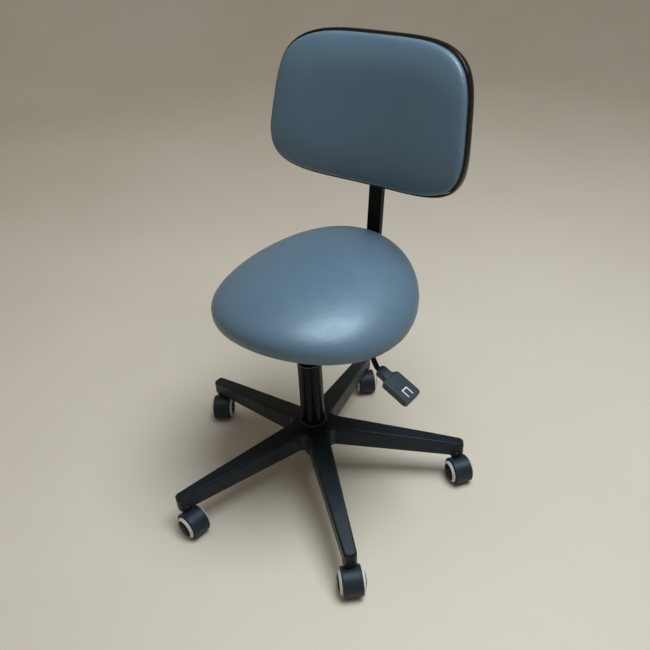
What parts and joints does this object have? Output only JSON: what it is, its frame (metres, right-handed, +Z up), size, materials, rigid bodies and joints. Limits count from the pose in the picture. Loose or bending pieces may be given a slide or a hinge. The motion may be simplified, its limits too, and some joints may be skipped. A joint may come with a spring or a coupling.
{
  "type": "practitioner chair",
  "caption": "Wheeled practitioner chair: round saddle seat on a gas lift, star base with twin castors, release lever, curved sliding and tilting back rest on a bent bar.",
  "frame": {"origin": "point on the floor under the gas lift column's axis", "axes": "+Z up along the column, -Y the way the sitter faces, +X the sitter's left"},
  "size_m": [0.6374, 0.6265, 0.8693],
  "materials": {
    "vinyl": "smooth upholstery vinyl with a soft sheen",
    "nylon": "moulded glass-filled nylon, fine matt texture",
    "wheel_plastic": "moulded nylon wheel",
    "ring_white": "white moulded ring",
    "black_paint": "black powder coat",
    "steel": "zinc-plated steel",
    "rod_chrome": "hard-chromed rod",
    "black_plastic": "glossy black moulding",
    "bearing_plastic": "low-friction acetal",
    "pan_plastic": "moulded black polypropylene",
    "paddle_plastic": "dark grey moulding",
    "plywood": "moulded plywood board"
  },
  "bodies": {
    "base": {"star_base": "nylon", "hub_collar": "black_plastic", "column_tube": "black_paint", "guide_sleeve": "black_plastic", "thrust_bearing": "bearing_plastic", "castor_stems": "steel"},
    "rod": {"piston_rod": "rod_chrome", "piston": "bearing_plastic", "rod_clip": "steel"},
    "seat": {"gas_cylinder": "black_paint", "mechanism_channel": "black_paint", "seat_plate": "black_paint", "seat_pan": "pan_plastic", "seat_pad": "vinyl", "seat_screws": "steel", "back_bar": "black_paint", "bar_bolts": "steel", "lever_pivot": "steel"},
    "lever": {"lever_rod": "black_paint", "lever_paddle": "paddle_plastic"},
    "release_pin": {"release_pin": "steel"},
    "back_slide": {"back_bracket": "pan_plastic", "back_tilt_pin": "steel"},
    "knob": {"clamp_knob": "pan_plastic"},
    "backrest": {"back_hinge": "black_paint", "back_board": "plywood", "back_cover": "black_plastic", "back_trim": "black_plastic", "back_pad": "vinyl", "back_screws": "steel"},
    "castor_left": {"castor_left_hood": "nylon", "castor_left_axle": "steel"},
    "castor_left_roller_1": {"castor_left_wheel_1": "wheel_plastic", "castor_left_ring_1": "ring_white"},
    "castor_left_roller_2": {"castor_left_wheel_2": "wheel_plastic", "castor_left_ring_2": "ring_white"},
    "castor_rear": {"castor_rear_hood": "nylon", "castor_rear_axle": "steel"},
    "castor_rear_roller_1": {"castor_rear_wheel_1": "wheel_plastic", "castor_rear_ring_1": "ring_white"},
    "castor_rear_roller_2": {"castor_rear_wheel_2": "wheel_plastic", "castor_rear_ring_2": "ring_white"},
    "castor_right": {"castor_right_hood": "nylon", "castor_right_axle": "steel"},
    "castor_right_roller_1": {"castor_right_wheel_1": "wheel_plastic", "castor_right_ring_1": "ring_white"},
    "castor_right_roller_2": {"castor_right_wheel_2": "wheel_plastic", "castor_right_ring_2": "ring_white"},
    "castor_front_right": {"castor_front_right_hood": "nylon", "castor_front_right_axle": "steel"},
    "castor_front_right_roller_1": {"castor_front_right_wheel_1": "wheel_plastic", "castor_front_right_ring_1": "ring_white"},
    "castor_front_right_roller_2": {"castor_front_right_wheel_2": "wheel_plastic", "castor_front_right_ring_2": "ring_white"},
    "castor_front_left": {"castor_front_left_hood": "nylon", "castor_front_left_axle": "steel"},
    "castor_front_left_roller_1": {"castor_front_left_wheel_1": "wheel_plastic", "castor_front_left_ring_1": "ring_white"},
    "castor_front_left_roller_2": {"castor_front_left_wheel_2": "wheel_plastic", "castor_front_left_ring_2": "ring_white"}
  },
  "joints": [
    {"name": "seat_swivel", "type": "hinge", "parent": "base", "child": "rod", "pos_m": [0, 0, 0.15], "axis": [0, 0, 1], "continuous": true},
    {"name": "seat_lift", "type": "slide", "parent": "rod", "child": "seat", "axis": [0, 0, 1], "range_m": [-0.042, 0.08]},
    {"name": "lever_lift", "type": "hinge", "parent": "seat", "child": "lever", "pos_m": [0.02992, -0.00225, 0.38685], "axis": [-0.075, -0.9972, 0], "range_deg": [0, 4.1], "stiffness_Nm_per_rad": 2, "springref_deg": -6.88},
    {"name": "release_press", "type": "slide", "parent": "seat", "child": "release_pin", "axis": [0, 0, -1], "range_m": [0, 0.0024]},
    {"name": "back_height", "type": "slide", "parent": "seat", "child": "back_slide", "axis": [0, 0.1271, 0.9919], "range_m": [-0.025, 0.03]},
    {"name": "knob_turn", "type": "hinge", "parent": "back_slide", "child": "knob", "pos_m": [0, 0.26738, 0.641], "axis": [0, 0.9919, -0.1271], "range_deg": [0, 360]},
    {"name": "back_tilt", "type": "hinge", "parent": "back_slide", "child": "backrest", "pos_m": [0, 0.25032, 0.64319], "axis": [1, 0, 0], "range_deg": [-6, 6]},
    {"name": "castor_left_swivel", "type": "hinge", "parent": "base", "child": "castor_left", "pos_m": [0.26414, 0.1525, 0.045], "axis": [0, 0, 1], "continuous": true},
    {"name": "castor_left_roll_1", "type": "hinge", "parent": "castor_left", "child": "castor_left_roller_1", "pos_m": [0.28011, 0.14046, 0.026], "axis": [0.6018, 0.7986, 0], "continuous": true},
    {"name": "castor_left_roll_2", "type": "hinge", "parent": "castor_left", "child": "castor_left_roller_2", "pos_m": [0.28011, 0.14046, 0.026], "axis": [0.6018, 0.7986, 0], "continuous": true},
    {"name": "castor_rear_swivel", "type": "hinge", "parent": "base", "child": "castor_rear", "pos_m": [-0.06341, 0.29834, 0.045], "axis": [0, 0, 1], "continuous": true},
    {"name": "castor_rear_roll_1", "type": "hinge", "parent": "castor_rear", "child": "castor_rear_roller_1", "pos_m": [-0.04977, 0.28371, 0.026], "axis": [0.7314, 0.682, 0], "continuous": true},
    {"name": "castor_rear_roll_2", "type": "hinge", "parent": "castor_rear", "child": "castor_rear_roller_2", "pos_m": [-0.04977, 0.28371, 0.026], "axis": [0.7314, 0.682, 0], "continuous": true},
    {"name": "castor_right_swivel", "type": "hinge", "parent": "base", "child": "castor_right", "pos_m": [-0.30333, 0.03188, 0.045], "axis": [0, 0, 1], "continuous": true},
    {"name": "castor_right_roll_1", "type": "hinge", "parent": "castor_right", "child": "castor_right_roller_1", "pos_m": [-0.29244, 0.01511, 0.026], "axis": [0.8387, 0.5446, 0], "continuous": true},
    {"name": "castor_right_roll_2", "type": "hinge", "parent": "castor_right", "child": "castor_right_roller_2", "pos_m": [-0.29244, 0.01511, 0.026], "axis": [0.8387, 0.5446, 0], "continuous": true},
    {"name": "castor_front_right_swivel", "type": "hinge", "parent": "base", "child": "castor_front_right", "pos_m": [-0.12405, -0.27863, 0.045], "axis": [0, 0, 1], "continuous": true},
    {"name": "castor_front_right_roll_1", "type": "hinge", "parent": "castor_front_right", "child": "castor_front_right_roller_1", "pos_m": [-0.10425, -0.28142, 0.026], "axis": [0.1392, 0.9903, 0], "continuous": true},
    {"name": "castor_front_right_roll_2", "type": "hinge", "parent": "castor_front_right", "child": "castor_front_right_roller_2", "pos_m": [-0.10425, -0.28142, 0.026], "axis": [0.1392, 0.9903, 0], "continuous": true},
    {"name": "castor_front_left_swivel", "type": "hinge", "parent": "base", "child": "castor_front_left", "pos_m": [0.22666, -0.20408, 0.045], "axis": [0, 0, 1], "continuous": true},
    {"name": "castor_front_left_roll_1", "type": "hinge", "parent": "castor_front_left", "child": "castor_front_left_roller_1", "pos_m": [0.2403, -0.21871, 0.026], "axis": [0.7314, 0.682, 0], "continuous": true},
    {"name": "castor_front_left_roll_2", "type": "hinge", "parent": "castor_front_left", "child": "castor_front_left_roller_2", "pos_m": [0.2403, -0.21871, 0.026], "axis": [0.7314, 0.682, 0], "continuous": true}
  ],
  "couplings": [
    {"joint": "release_press", "follows": "lever_lift", "m_per_rad": 0.031}
  ]
}
